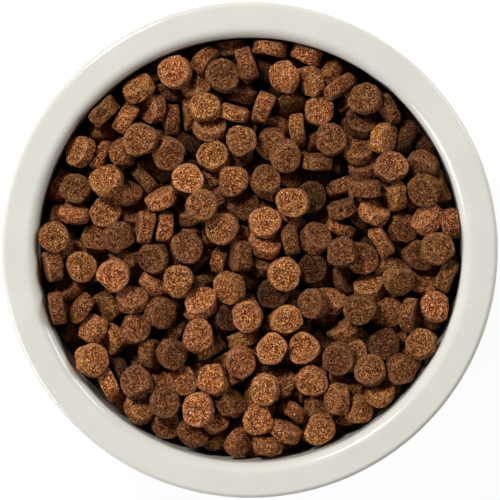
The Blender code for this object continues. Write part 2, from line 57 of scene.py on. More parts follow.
SHOULDER_RADIUS = 0.0036
LIP_RADIUS = 0.0016
WALL_LEAN = math.radians(1.5)
OUTSIDE_LEAN = math.radians(8)
BOTTOM_THICKNESS = 0.0075
INSIDE_FILLET = 0.016
HEEL_RADIUS = 0.008
FOOT_SETBACK = 0.0034
FOOT_WIDTH = 0.006
FOOT_HEIGHT = 0.0025
FOOT_DRAFT = 0.0010

# Food, in metres
PIECE_DIAMETER = 0.0102
PIECE_THICKNESS = 0.0050
SIZE_SPREAD = 0.045
HEAP_DEPTH = 0.016
HEAP_TOP = 0.0014
HEAP_FALL = 0.0022
PACKING_SHARE = 0.54
SEAT_GAP = 0.00025
PACKING_GAP = 0.0009
FLAT_SHARE = 0.5
FLAT_TILT = 25
HIDDEN_DEPTH = 0.008
SEED = 5

# Packing of the heap
BALLS_ROUND_EDGE = 6
PACKING_STEPS = 200
FREE_STEPS = 60
HOLD_ON_TOP = 0.12
HOLD_BELOW = 0.06
FALL_STEP = 0.00003
MOVE_GAIN = 1.5
TURN_LIMIT = 0.25
LOWER_LAYER = 0.0045
LAYER_CELL = 0.0005

# Where the photograph shows the pieces: pixels right and down, then tilt and heading in degrees
RIM_CENTRE_PIXEL = (249.5, 250.2)
MOUTH_RADIUS_PIXELS = 212.9
ON_TOP = [
    (138, 86, 42, 95), (103, 111, 80, 127), (145, 139, 15, 120), (82, 153, 22, 150),
    (181, 71, 25, 150), (226, 72, 38, 80), (206, 109.5, 12, 140), (266, 108, 55, -45),
    (242, 141, 14, 100), (284, 155, 12, 90), (331, 143, 20, 150), (365, 95, 14, 130),
    (398, 160, 40, 70), (76, 189, 30, 130), (55, 231, 18, 160), (110, 182, 30, 100),
    (115, 234, 14, 100), (50, 267, 65, 180), (82, 266, 25, 110), (113, 279, 16, 140),
    (59, 313, 70, 165), (178, 289, 25, 120), (184, 178, 15, 120), (204, 207, 14, 120),
    (266, 182, 10, 60), (293, 202, 12, 180), (229, 232, 12, 120), (268, 228, 12, 90),
    (182, 245, 22, 60), (284, 271, 16, 30), (228, 286, 18, 160), (249, 320, 12, 120),
    (287, 321, 14, 90), (317, 305, 20, 110), (340, 250, 10, 100), (365, 196, 78, 95),
    (438, 248, 16, 60), (398, 277, 40, 30), (358, 308, 12, 150), (435, 307, 28, 90),
    (87, 358, 28, 0), (172, 359, 60, -10), (164, 401, 30, 60), (200, 331, 14, 90),
    (241, 361, 12, 90), (270, 350, 14, 130), (303, 355, 14, 110), (268, 389, 14, 120),
    (215, 380, 30, 90), (312, 386, 28, -90), (193, 406, 10, 120), (253, 421, 15, -60),
    (340, 358, 16, 110), (376, 371, 25, 120), (403, 374, 30, 0), (425, 340, 14, 120),
    (167, 150, 65, -35), (140, 382, 65, 110),
]
BESIDE = [
    (127, 118, 75, 0), (149, 109, 45, 170), (121, 155, 62, 0), (206, 61, 65, -25),
    (247, 61, 68, 10), (269, 46, 80, 85), (284, 75, 62, 205), (309, 78, 32, 190),
    (237, 116, 75, 100), (213, 154, 24, 120), (338, 86, 80, 145), (391, 107, 72, 170),
    (383, 135, 48, 0), (430, 165, 30, 170), (74, 213, 28, 80), (146, 227, 65, 170),
    (162, 226, 62, 170), (150, 257, 38, 180), (132, 299, 25, 70), (82, 309, 65, 120),
    (158, 313, 50, -20), (92, 328, 18, 120), (133, 330, 35, 60), (231, 181, 10, 90),
    (291, 238, 80, 175), (315, 238, 42, 80), (240, 258, 70, 160), (201, 305, 30, 90),
    (373, 211, 62, 80), (397, 197, 55, 200), (426, 190, 14, 90), (430, 221, 30, 150),
    (454, 225, 72, 0), (381, 240, 75, 25), (447, 275, 78, 145), (407, 317, 82, 0),
    (113, 385, 70, 36), (150, 359, 62, 0), (136, 413, 45, 60), (192, 436, 32, 60),
    (240, 445, 50, -40), (267, 450, 50, 80), (286, 431, 45, 70), (320, 432, 22, -60),
    (380, 398, 38, 100), (362, 412, 30, 0), (317, 160, 75, 95), (158, 201, 70, 120),
]
BELOW = [
    (106, 139, 70, 90), (128, 196, 30, 80), (195, 88, 20, 120), (211, 132, 78, 85),
    (293, 105, 45, -60), (312, 108, 20, 150), (296, 130, 70, 20), (273, 141, 16, 170),
    (329, 68, 40, 100), (410, 141, 48, 200), (357, 117, 35, 120), (367, 163, 45, 60),
    (358, 150, 35, 80), (106, 210, 25, 150), (262, 259, 14, 120), (416, 253, 20, 150),
    (112, 309, 60, 200), (272, 294, 30, 100), (71, 290, 35, 140), (151, 284, 25, 100),
    (218, 416, 45, 0), (370, 288, 55, 110), (387, 317, 40, 180), (172, 121, 60, 170),
    (333, 300, 30, 60), (305, 203, 14, 0), (200, 263, 60, -70), (126, 260, 70, 100),
    (69, 257, 20, 150), (93, 243, 60, 60), (404, 228, 20, 40), (361, 259, 25, -50),
    (114, 338, 55, 180), (120, 325, 70, 160), (385, 340, 58, 80), (343, 330, 30, 100),
    (411, 370, 30, 0), (231, 49, 70, 70), (310, 56, 30, 80), (343, 226, 52, -70),
    (247, 209, 50, 90), (425, 282, 40, 90), (190, 142, 60, 70), (139, 186, 70, 180),
    (55, 190, 60, 170), (170, 95, 65, 90), (230, 322, 30, 0), (240, 345, 30, 100),
    (212, 354, 45, -80), (265, 68, 70, 0), (237, 93, 40, 80), (180, 383, 30, 90),
    (280, 380, 40, 60), (350, 355, 30, 20), (318, 405, 35, 90), (288, 411, 60, 90),
    (245, 395, 50, 170), (343, 411, 74, 170), (340, 213, 50, 90), (445, 190, 30, 0),
    (230, 399, 30, 0), (166, 425, 40, 250), (124, 368, 60, 30), (160, 386, 40, 200),
    (352, 386, 35, 90),
]

Piece = namedtuple("Piece", "place axis radius half")

# Mesh of the bowl, the foot's soft edges as inset and height, and how high the foot is bare
TURN_SEGMENTS = 320
ARC_CELLS = 14
WALL_CELLS = 10
FOOT_EDGE = [(FOOT_DRAFT * 0.8, 0.0004), (FOOT_DRAFT, 0.0001), (FOOT_DRAFT + 0.0003, 0)]
BARE_HEIGHT = 0.0011

# Camera, placed from the photograph: what it sees at the rim's level, the point it looks at, and its lean
CAMERA_DISTANCE = 1.30
VIEW_HALF_WIDTH = 0.08045
AIM_X = 0.00024
AIM_Y = 0.00024
TOWARD_TOP = math.radians(2.5)
TOWARD_RIGHT = math.radians(1.2)
CLIP_START = 0.01

# Light from all around, then the lamps: name, place, width, watts and colour
AROUND_COLOUR = (0.98, 0.99, 1.0, 1)
AROUND_STRENGTH = 0.03
LAMP_AIM = (0, 0, 0.05)
LAMPS = [
    ("key", (-0.844, 1.206, 1.804), 0.50, 41.5, (1.0, 0.985, 0.965)),
    ("right_side", (1.383, 0.864, 0.761), 0.90, 12.0, (1.0, 0.99, 0.975)),
    ("left_side", (-1.440, -0.766, 0.761), 0.90, 16.8, (1.0, 0.99, 0.975)),
]

# Floor: its size and place in metres, what the camera sees of it, and the grey that lights the bowl
FLOOR_HALF_WIDTH = 3.0
FLOOR_DROP = 0.0001
FLOOR_GLOW = 0.95
FLOOR_SEEN_GREY = 0.08
FLOOR_GREY = 0.80

# Bodies of the food: which are fine, their cells to an edge, their groups, seeds and headings
SHOWN_SHARE = 0.015
FINE_CELLS = 15
PLAIN_CELLS = 8
BED_GROUPS = 5
FIT_ROUNDS = 3
FIRST_BODY_SEED = 1000
FIRST_UNDER = 500
ANY_HEADING = (0, 6.28)
EITHER_WAY = (-3.14, 3.14)
NEARLY_UPRIGHT = 0.9

# Shape of a body, as shares of the piece's size: its edge, the waves of its outline, and how it is cut
BLUNTNESS = (4.5, 9.0)
EDGE_START = 0.76
EDGE_RUN = 0.14
WAVES = ((2, 0.065), (3, 0.040), (5, 0.020))
SWELL = 1.03
WEDGE = 0.15
BEND = 0.16
FLATTENED_SHARE = 0.5
FLATTENED_FROM = (0.76, 0.92)
FLATTENED_BY = 0.75

# Skin of a body, in metres: sizes and depths of its lumps, then its pits and bites
LUMPS = ((0.0042, 0.00032), (0.0019, 0.00018), (0.0010, 0.00010))
PIT_COUNTS = (1, 1, 2, 3, 4)
PIT_WIDTH = (0.0007, 0.0017)
PIT_DEPTH = (0.00015, 0.00055)
BITTEN_SHARE = 0.45
BITE_WIDTH = (0.0014, 0.0024)
BITE_DEPTH = (0.0006, 0.0011)
SKIN_INSET = 0.00006

# Core of the heap, in metres
CORE_GAP = 0.0004
CORE_RINGS = 24
CORE_CELLS = 4
CORE_LUMPS = ((0.0045, 11, 0.0012), (0.0018, 12, 0.0003))
CORE_TOP_DEPTH = 0.0005
CORE_CALM_EDGE = 0.001

# Painted shade of the food: pieces below the heap's top are painted darker, fully at a depth in metres, and
# the core under them darker still
SHADE_DEPTH = 0.006
DEEP_PAINTED_SHADE = 1.0
CORE_PAINTED_SHADE = -1.4

# A cell of the food's pattern holds a spot if its random grey is above these
SPOTS_FROM = 0.68
SPOTS_FULL = 0.74

# Factors of the noise
CELL_FACTORS = (73856093, 19349663, 83492791)
SEED_FACTOR = 1013904223
MIX_FACTORS = (2246822519, 3266489917)
WORD = 0xFFFFFFFF
HALF_WORD = 0xFFFF


# Layout of the food, as in the model's source
def wall_radius(height):
    """Radius of the straight part of the bowl's inner wall at a height."""
    below_shoulder = BOWL_HEIGHT - SHOULDER_RADIUS - height
    return MOUTH_DIAMETER / 2 - below_shoulder * math.tan(WALL_LEAN)


def fillet_centre():
    """Centre of the arc that joins the inner bottom to the inner wall."""
    height = FOOT_HEIGHT + BOTTOM_THICKNESS + INSIDE_FILLET
    return wall_radius(height) - INSIDE_FILLET / math.cos(WALL_LEAN), height


def inner_radius(height):
    """Radius of the bowl's hollow at a height, on the fillet or on the wall above it."""
    centre_radius, centre_height = fillet_centre()
    down = centre_height - height
    if down < INSIDE_FILLET * math.sin(WALL_LEAN):
        return wall_radius(height)
    return centre_radius + math.sqrt(max(INSIDE_FILLET ** 2 - down ** 2, 0))


def heap_height(radius):
    """Height of the heap's top at a distance from the bowl's axis."""
    share = radius / (MOUTH_DIAMETER / 2)
    return BOWL_HEIGHT - HEAP_TOP - HEAP_FALL * share ** 2


def upward_reach(piece):
    """How far a piece reaches above its middle."""
    upright = piece.axis[2]
    return piece.half * upright + piece.radius * math.sqrt(max(1 - upright ** 2, 0))


def new_piece(rng, x, y, tilt, heading):
    """A piece with its own small difference in size, at the bowl's foot for now."""
    axis = (math.sin(tilt) * math.cos(heading), math.sin(tilt) * math.sin(heading), math.cos(tilt))
    radius = PIECE_DIAMETER / 2 * rng.uniform(1 - SIZE_SPREAD, 1 + SIZE_SPREAD)
    half = PIECE_THICKNESS / 2 * rng.uniform(1 - 2 * SIZE_SPREAD, 1 + 2 * SIZE_SPREAD)
    return Piece((x, y, 0), axis, radius, half)


def seen_pieces(rng, rows, sink):
    """Pieces at the places that the photograph shows, their tops a little below the heap's top."""
    scale = MOUTH_DIAMETER / 2 / MOUTH_RADIUS_PIXELS
    pieces = []
    for right, down, tilt, heading in rows:
        x = (right - RIM_CENTRE_PIXEL[0]) * scale
        y = (RIM_CENTRE_PIXEL[1] - down) * scale
        piece = new_piece(rng, x, y, math.radians(tilt), math.radians(heading))
        height = heap_height(math.hypot(x, y)) - upward_reach(piece) - sink
        pieces.append(piece._replace(place=(x, y, height)))
    return pieces


def hidden_pieces(rng, count):
    """Pieces of the lower layers, spread evenly on a spiral, each turned at random."""
    turn = math.pi * (3 - math.sqrt(5))
    pieces = []
    for n in range(count):
        radius = (MOUTH_DIAMETER - PIECE_DIAMETER) / 2 * math.sqrt((n + 0.5) / count)
        lies_flat = rng.random() < FLAT_SHARE
        tilt = rng.uniform(0, FLAT_TILT) if lies_flat else rng.uniform(FLAT_TILT, 90)
        heading = rng.uniform(0, 2 * math.pi)
        x, y = radius * math.cos(n * turn), radius * math.sin(n * turn)
        piece = new_piece(rng, x, y, math.radians(tilt), heading)
        height = heap_height(radius) - rng.uniform(HIDDEN_DEPTH, HEAP_DEPTH - PIECE_THICKNESS / 2)
        pieces.append(piece._replace(place=(x, y, height)))
    return pieces


def ball_arms(axis, ring):
    """Offsets from each piece's middle to the balls that stand for it: one inside and a ring."""
    steep = np.abs(axis[:, 2:3]) < NEARLY_UPRIGHT
    other = np.where(steep, np.array([[0.0, 0.0, 1.0]]), np.array([[1.0, 0.0, 0.0]]))
    across = np.cross(axis, other)
    across /= np.sqrt((across ** 2).sum(1))[:, None]
    along = np.cross(axis, across)
    angles = np.arange(BALLS_ROUND_EDGE) * 2 * math.pi / BALLS_ROUND_EDGE
    edge = across[:, None] * np.cos(angles)[None, :, None] + along[:, None] * np.sin(angles)[None, :, None]
    return np.concatenate([np.zeros((len(axis), 1, 3)), edge * ring[:, None, None]], axis=1)


def push_apart(place, arms, ball, reach):
    """Pushes between balls of different pieces that overlap, and how many each ball feels."""
    balls = place[:, None] + arms
    distance = np.sqrt(((place[:, None] - place[None]) ** 2).sum(2))
    first, second = np.nonzero(np.triu(distance < reach[:, None] + reach[None], 1))
    between = balls[first][:, :, None] - balls[second][:, None]
    apart = np.sqrt((between ** 2).sum(3)) + 1e-9
    overlap = np.clip(ball[first][:, None, None] + ball[second][:, None, None] - apart, 0, None)
    half_push = between / apart[..., None] * overlap[..., None] / 2
    push = np.zeros_like(arms)
    felt = np.zeros(arms.shape[:2])
    np.add.at(push, first, half_push.sum(2))
    np.add.at(push, second, -half_push.sum(1))
    np.add.at(felt, first, (overlap > 0).sum(2))
    np.add.at(felt, second, (overlap > 0).sum(1))
    return push, felt


def push_inside(place, arms, ball, push, felt):
    """Adds the pushes of the bowl's wall and of the food under the heap."""
    balls = place[:, None] + arms
    outward = np.hypot(balls[..., 0], balls[..., 1]) + 1e-9
    clear = SEAT_GAP + ball[:, None] - PACKING_GAP / 2
    wall = np.minimum(wall_radius(balls[..., 2]), MOUTH_DIAMETER / 2) - clear
    past = np.clip(outward - wall, 0, None)
    push[..., 0] -= balls[..., 0] / outward * past
    push[..., 1] -= balls[..., 1] / outward * past
    under = np.clip(heap_height(outward) - HEAP_DEPTH + ball[:, None] - balls[..., 2], 0, None)
    push[..., 2] += under
    felt += (past > 0).astype(float) + (under > 0)


def packed(pieces, held):
    """Pieces eased apart until none overlap, the held ones staying near where they were seen."""
    place = np.array([p.place for p in pieces], dtype=float)
    axis = np.array([p.axis for p in pieces], dtype=float)
    radius = np.array([p.radius for p in pieces])
    half = np.array([p.half for p in pieces])
    held = np.array(held)
    ball = half + PACKING_GAP / 2
    ring = np.maximum(radius - half, half / 4)
    home, home_axis = place.copy(), axis.copy()
    for step in range(PACKING_STEPS):
        arms = ball_arms(axis, ring)
        push, felt = push_apart(place, arms, ball, radius + PACKING_GAP)
        push_inside(place, arms, ball, push, felt)
        count = np.maximum(felt.sum(1), 1)[:, None]
        turn = np.cross(arms, push).sum(1) / (count * (ring ** 2)[:, None])
        turn *= np.minimum(1, TURN_LIMIT / np.maximum(np.sqrt((turn ** 2).sum(1)), 1e-9))[:, None]
        place = place + push.sum(1) / count * MOVE_GAIN
        if step < PACKING_STEPS - FREE_STEPS:
            place = place + (home - place) * held[:, None]
            place[:, 2] -= np.where(held == 0, FALL_STEP, 0)
            axis = axis + (home_axis - axis) * held[:, None] / 2
        axis = axis + np.cross(turn, axis)
        axis = axis / np.sqrt((axis ** 2).sum(1))[:, None]
        place = np.round(place, 8)
        axis = np.round(axis, 8)
    axis = axis * np.where(axis[:, 2:3] < 0, -1, 1)
    rows = zip(pieces, place.tolist(), axis.tolist())
    return [inside_bowl(p._replace(place=tuple(where), axis=tuple(way))) for p, where, way in rows]


def inside_bowl(piece):
    """The piece moved towards the axis, if it has to, until it is clear of the bowl's wall."""
    x, y, z = piece.place
    outward = math.hypot(x, y)
    along = abs(piece.axis[0] * x + piece.axis[1] * y) / max(outward, 1e-9)
    reach = piece.half * along + piece.radius * math.sqrt(max(1 - along ** 2, 0))
    lowest = z - upward_reach(piece)
    limit = min(wall_radius(lowest), MOUTH_DIAMETER / 2) - SEAT_GAP - reach
    share = min(1, max(limit, 0) / max(outward, 1e-9))
    return piece._replace(place=(x * share, y * share, z))


def showing_shares(pieces):
    """Share of each piece's round face that shows from above."""
    half_cells = int(RIM_DIAMETER / 2 / LAYER_CELL)
    top = np.full((2 * half_cells + 1, 2 * half_cells + 1), -1.0)
    owner = np.full(top.shape, -1)
    for number, piece in enumerate(pieces):
        x, y, z = piece.place
        ax, ay, az = piece.axis
        az = max(az, 1e-4)
        column = int(round(x / LAYER_CELL)) + half_cells
        row = int(round(y / LAYER_CELL)) + half_cells
        reach = int((piece.radius + piece.half) / LAYER_CELL) + 1
        rows = slice(max(row - reach, 0), row + reach + 1)
        columns = slice(max(column - reach, 0), column + reach + 1)
        depth, width = top[rows, columns].shape
        grid_y, grid_x = np.mgrid[rows, columns][:, :depth, :width]
        dx = (grid_x - half_cells) * LAYER_CELL - x
        dy = (grid_y - half_cells) * LAYER_CELL - y
        along = dx * ax + dy * ay
        flat = max(1 - az * az, 1e-7)
        room = (along * az) ** 2 - flat * (dx ** 2 + dy ** 2 - along ** 2 - piece.radius ** 2)
        root = np.sqrt(np.clip(room, 0, None))
        low = np.maximum((along * az - root) / flat, (-piece.half - along) / az)
        high = np.minimum((along * az + root) / flat, (piece.half - along) / az)
        covers = (room > 0) & (low < high) & (z + high > top[rows, columns])
        top[rows, columns] = np.where(covers, z + high, top[rows, columns])
        owner[rows, columns] = np.where(covers, number, owner[rows, columns])
    cells = np.bincount(owner[owner >= 0], minlength=len(pieces))
    return [n * LAYER_CELL ** 2 / (math.pi * p.radius ** 2) for n, p in zip(cells, pieces)]


def laid_out():
    """The pieces of food under the loose ones, each with the share of its face that shows."""
    rng = random.Random(SEED)
    on_top = seen_pieces(rng, ON_TOP, 0)
    beside = seen_pieces(rng, BESIDE, 0)
    below = seen_pieces(rng, BELOW, LOWER_LAYER)
    one = math.pi * (PIECE_DIAMETER / 2) ** 2 * PIECE_THICKNESS
    room = math.pi * (MOUTH_DIAMETER / 2) ** 2 * HEAP_DEPTH
    seen = len(on_top) + len(beside) + len(below)
    hidden = hidden_pieces(rng, max(int(PACKING_SHARE * room / one) - seen, 0))
    held = [HOLD_ON_TOP] * (len(on_top) + len(beside)) + [HOLD_BELOW] * len(below) + [0.0] * len(hidden)
    pieces = packed(on_top + beside + below + hidden, held)
    return list(zip(pieces, showing_shares(pieces)))[len(on_top):]


# Noise
def lattice_values(cell, seed):
    """A repeatable value from -1 to 1 for each whole-numbered cell."""
    x, y, z = (cell * CELL_FACTORS).T
    n = x ^ y ^ z ^ seed * SEED_FACTOR
    n = (n ^ n >> 15) * MIX_FACTORS[0] & WORD
    n = (n ^ n >> 13) * MIX_FACTORS[1] & WORD
    return (n ^ n >> 16 & HALF_WORD).astype(float) / WORD * 2 - 1


def lumps(points, size, seed):
    """Smooth noise from -1 to 1 whose lumps have a size."""
    cell = np.floor(points / size)
    part = points / size - cell
    part = part * part * (3 - 2 * part)
    cell = cell.astype(np.int64)
    total = np.zeros(len(points))
    for n in range(8):
        corner = np.array([n & 1, n >> 1 & 1, n >> 2 & 1])
        weight = np.where(corner == 1, part, 1 - part).prod(1)
        total += weight * lattice_values(cell + corner, seed)
    return total


# Bodies of the food
def cube_sphere(cells):
    """Directions and four-sided faces of a sphere made from a cube with so many cells to an edge."""
    number = {}
    points = []
    faces = []
    for axis in range(3):
        for side in (-1, 1):
            for i in range(cells):
                for j in range(cells):
                    corners = []
                    for di, dj in ((0, 0), (1, 0), (1, 1), (0, 1)):
                        key = [0, 0, 0]
                        key[axis] = side * cells
                        key[(axis + 1) % 3] = 2 * (i + di) - cells
                        key[(axis + 2) % 3] = 2 * (j + dj) - cells
                        key = tuple(key)
                        if key not in number:
                            number[key] = len(points)
                            points.append([math.tan(math.pi / 4 * k / cells) for k in key])
                        corners.append(number[key])
                    faces.append(corners if side > 0 else corners[::-1])
    points = np.array(points)
    points /= np.sqrt((points ** 2).sum(1))[:, None]
    return points, np.array(faces)


def blunt_disc(piece, sphere, bluntness):
    """Points of a soft-edged disc of unit size, the piece's normal at each, and how near an edge it is."""
    rho = np.hypot(sphere[:, 0], sphere[:, 1])
    up = np.abs(sphere[:, 2])
    reach = (rho ** bluntness + up ** bluntness) ** (-1 / bluntness)
    edge = np.minimum(reach * rho, reach * up)
    edge = np.clip((edge - EDGE_START) / EDGE_RUN, 0, 1)
    normal = np.stack([
        sphere[:, 0] * rho ** (bluntness - 2) / piece.radius,
        sphere[:, 1] * rho ** (bluntness - 2) / piece.radius,
        np.sign(sphere[:, 2]) * up ** (bluntness - 1) / piece.half,
    ], axis=1)
    normal /= np.sqrt((normal ** 2).sum(1))[:, None]
    return sphere * reach[:, None], normal, edge


def press_side(local, piece, rng):
    """Flattens one side of a body."""
    way = rng.uniform(*ANY_HEADING)
    side = np.array([math.cos(way), math.sin(way)])
    out = local[:, :2] @ side
    past = np.clip(out - piece.radius * rng.uniform(*FLATTENED_FROM), 0, None)
    local[:, :2] -= np.outer(past * FLATTENED_BY, side)


def dent(points, centre, width, depth):
    """How deep a round dent is at each point."""
    far = ((points - centre) ** 2).sum(1) / width ** 2
    return depth * np.exp(-far)


def rough_skin(local, angle, edge, rng):
    """How far a body's skin rises at each point: lumps, a few pits, and at times a bite off its edge."""
    away = np.array([rng.uniform(-1, 1) for _ in range(3)])
    grain = local + away
    rise = np.zeros(len(local))
    for number, (size, depth) in enumerate(LUMPS):
        rise += lumps(grain, size, number + 1) * depth
    for _ in range(rng.choice(PIT_COUNTS)):
        centre = local[int(rng.random() * len(local))]
        rise -= dent(local, centre, rng.uniform(*PIT_WIDTH), rng.uniform(*PIT_DEPTH))
    if rng.random() < BITTEN_SHARE:
        centre = local[int(np.argmax(edge * np.cos(angle - rng.uniform(*EITHER_WAY))))]
        rise -= dent(local, centre, rng.uniform(*BITE_WIDTH), rng.uniform(*BITE_DEPTH))
    return rise


def set_down(local, piece, turn):
    """A body's points turned onto the piece's axis and moved to its place."""
    axis = np.array(piece.axis)
    side = np.cross(axis, (0.0, 0.0, 1.0) if abs(axis[2]) < NEARLY_UPRIGHT else (1.0, 0.0, 0.0))
    side /= math.sqrt((side ** 2).sum())
    ahead = np.cross(axis, side)
    first = side * math.cos(turn) + ahead * math.sin(turn)
    second = np.cross(axis, first)
    return local[:, :1] * first + local[:, 1:2] * second + local[:, 2:] * axis + np.array(piece.place)


def food_body(piece, sphere, rng):
    """Points of one piece, a short round body cut a little unevenly, and how near an edge each is."""
    local, normal, edge = blunt_disc(piece, sphere, rng.uniform(*BLUNTNESS))
    angle = np.arctan2(sphere[:, 1], sphere[:, 0])
    outline = np.ones(len(local))
    for count, most in WAVES:
        outline += rng.uniform(0, most) * np.cos(count * angle + rng.uniform(*ANY_HEADING))
    local[:, :2] *= (piece.radius * SWELL * outline)[:, None]
    wedge = rng.uniform(0, WEDGE)
    way = rng.uniform(*ANY_HEADING)
    across = (local[:, 0] * math.cos(way) + local[:, 1] * math.sin(way)) / piece.radius
    local[:, 2] *= piece.half * (1 + wedge * across)
    local[:, 2] += piece.half * rng.uniform(-BEND, BEND) * (across ** 2 - 0.5)
    if rng.random() < FLATTENED_SHARE:
        press_side(local, piece, rng)
    rise = rough_skin(local, angle, edge, rng)
    local += normal * (rise - SKIN_INSET)[:, None]
    return set_down(local, piece, rng.uniform(*ANY_HEADING)), edge


def painted_depth_shade(piece):
    """How much painted shade a piece gets for lying below the heap's top."""
    x, y, z = piece.place
    sunk = heap_height(math.hypot(x, y)) - z - upward_reach(piece)
    return DEEP_PAINTED_SHADE * min(max(sunk / SHADE_DEPTH, 0), 1)


def in_scene(name, data):
    """A new object of the scene that holds the data."""
    item = bpy.data.objects.new(name, data)
    bpy.context.scene.collection.objects.link(item)
    return item


def set_values(mesh, word, values):
    """Gives each point of the mesh a value that its material reads."""
    mesh.attributes.new(word, "FLOAT", "POINT").data.foreach_set("value", values)


def food_piece(name, rows, cells, material):
    """One object that holds the bodies of so many pieces of food, each with its own tone and hue, the tone
    lowered by painted shade for lying deep.
    """
    sphere, quads = cube_sphere(cells)
    points = []
    faces = []
    values = {"tone": [], "hue": [], "edge": []}
    for seed, piece in rows:
        rng = random.Random(FIRST_BODY_SEED + seed)
        faces.append(quads + len(sphere) * len(points))
        body, edge = food_body(piece, sphere, rng)
        points.append(body)
        # Each piece's tone: a random tone of its own, lowered by painted shade for lying below the heap's
        # top
        values["tone"].append(np.full(len(sphere), rng.uniform(-1, 1) - painted_depth_shade(piece)))
        values["hue"].append(np.full(len(sphere), rng.uniform(-1, 1)))
        values["edge"].append(edge)
    mesh = bpy.data.meshes.new(name)
    mesh.from_pydata(np.concatenate(points).tolist(), [], np.concatenate(faces).tolist())
    for word, parts in values.items():
        set_values(mesh, word, np.concatenate(parts))
    mesh.polygons.foreach_set("use_smooth", [True] * len(mesh.polygons))
    mesh.materials.append(material)
    item = in_scene(name, mesh)
    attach(item, "root")
    return item


def node_piece(name):
    """Place, axis, radius and half thickness of a piece that the model holds as a node."""
    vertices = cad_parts[name].data.vertices
    points = np.array([v.co[:] for v in vertices])
    middle = (points.min(0) + points.max(0)) / 2
    for _ in range(FIT_ROUNDS):
        ways = np.linalg.eigh(np.cov((points - middle).T))[1]
        axis = ways[:, 0] * (1 if ways[2, 0] > 0 else -1)
        along = (points - middle) @ axis
        middle = middle + axis * (along.max() + along.min()) / 2
        flat = points - middle - np.outer((points - middle) @ axis, axis)
        middle = middle + flat.mean(0)
    along = (points - middle) @ axis
    flat = points - middle - np.outer(along, axis)
    radius = np.sqrt((flat ** 2).sum(1)).max()
    return Piece(tuple(middle.tolist()), tuple(axis.tolist()), float(radius), float(along.max()))


# Shape of the bowl
def rounded(centre, radius, start, end, cells):
    """Points of an arc from one angle to another."""
    angles = [start + (end - start) * n / cells for n in range(cells + 1)]
    return [(centre[0] + radius * math.cos(a), centre[1] + radius * math.sin(a)) for a in angles]


def straight(start, end, cells):
    """Points between two corners of the section, without the corners."""
    return [tuple(a + (b - a) * n / cells for a, b in zip(start, end)) for n in range(1, cells)]


def joined_up(runs, cells):
    """One section from runs of points, with the straight stretches between them cut in cells."""
    points = list(runs[0])
    for run in runs[1:]:
        points += straight(points[-1], run[0], cells)
        points += run
    return points


def bowl_section(rim_radius):
    """The model's section with finer arcs, and soft edges at the foot ring."""
    shoulder_height = BOWL_HEIGHT - SHOULDER_RADIUS
    shoulder = (wall_radius(shoulder_height) + SHOULDER_RADIUS / math.cos(WALL_LEAN), shoulder_height)
    lip = (rim_radius - LIP_RADIUS, BOWL_HEIGHT - LIP_RADIUS)
    lip_side = lip[0] + LIP_RADIUS / math.cos(OUTSIDE_LEAN)
    heel_height = FOOT_HEIGHT + HEEL_RADIUS
    heel_side = lip_side - (lip[1] - heel_height) * math.tan(OUTSIDE_LEAN)
    heel = (heel_side - HEEL_RADIUS / math.cos(OUTSIDE_LEAN), heel_height)
    foot_outside = heel[0] - FOOT_SETBACK
    foot_inside = foot_outside - FOOT_WIDTH
    centre = fillet_centre()
    runs = [
        [(0, centre[1] - INSIDE_FILLET)],
        rounded(centre, INSIDE_FILLET, -math.pi / 2, -WALL_LEAN, ARC_CELLS),
        rounded(shoulder, SHOULDER_RADIUS, math.pi - WALL_LEAN, math.pi / 2, ARC_CELLS),
        rounded(lip, LIP_RADIUS, math.pi / 2, -OUTSIDE_LEAN, ARC_CELLS),
        rounded(heel, HEEL_RADIUS, -OUTSIDE_LEAN, -math.pi / 2, ARC_CELLS),
        [(foot_outside, FOOT_HEIGHT)],
        [(foot_outside - inset, height) for inset, height in FOOT_EDGE],
        [(foot_inside + inset, height) for inset, height in reversed(FOOT_EDGE)],
        [(foot_inside, FOOT_HEIGHT)],
        [(0, FOOT_HEIGHT)],
    ]
    return joined_up(runs, WALL_CELLS)


def turned_mesh(name, section):
    """A closed mesh from a section that starts and ends on the axis."""
    angles = [2 * math.pi * n / TURN_SEGMENTS for n in range(TURN_SEGMENTS)]
    ring = [(math.cos(a), math.sin(a)) for a in angles]
    points = [(0, 0, section[0][1])]
    for radius, height in section[1:-1]:
        points += [(radius * c, radius * s, height) for c, s in ring]
    points.append((0, 0, section[-1][1]))
    last = len(points) - 1
    rows = len(section) - 2
    faces = []
    for n in range(TURN_SEGMENTS):
        after = (n + 1) % TURN_SEGMENTS
        faces.append((0, 1 + n, 1 + after))
        for row in range(rows - 1):
            low, high = 1 + row * TURN_SEGMENTS, 1 + (row + 1) * TURN_SEGMENTS
            faces.append((low + n, high + n, high + after, low + after))
        top = 1 + (rows - 1) * TURN_SEGMENTS
        faces.append((top + after, top + n, last))
    mesh = bpy.data.meshes.new(name)
    mesh.from_pydata(points, [], faces)
    mesh.polygons.foreach_set("use_smooth", [True] * len(mesh.polygons))
    return mesh


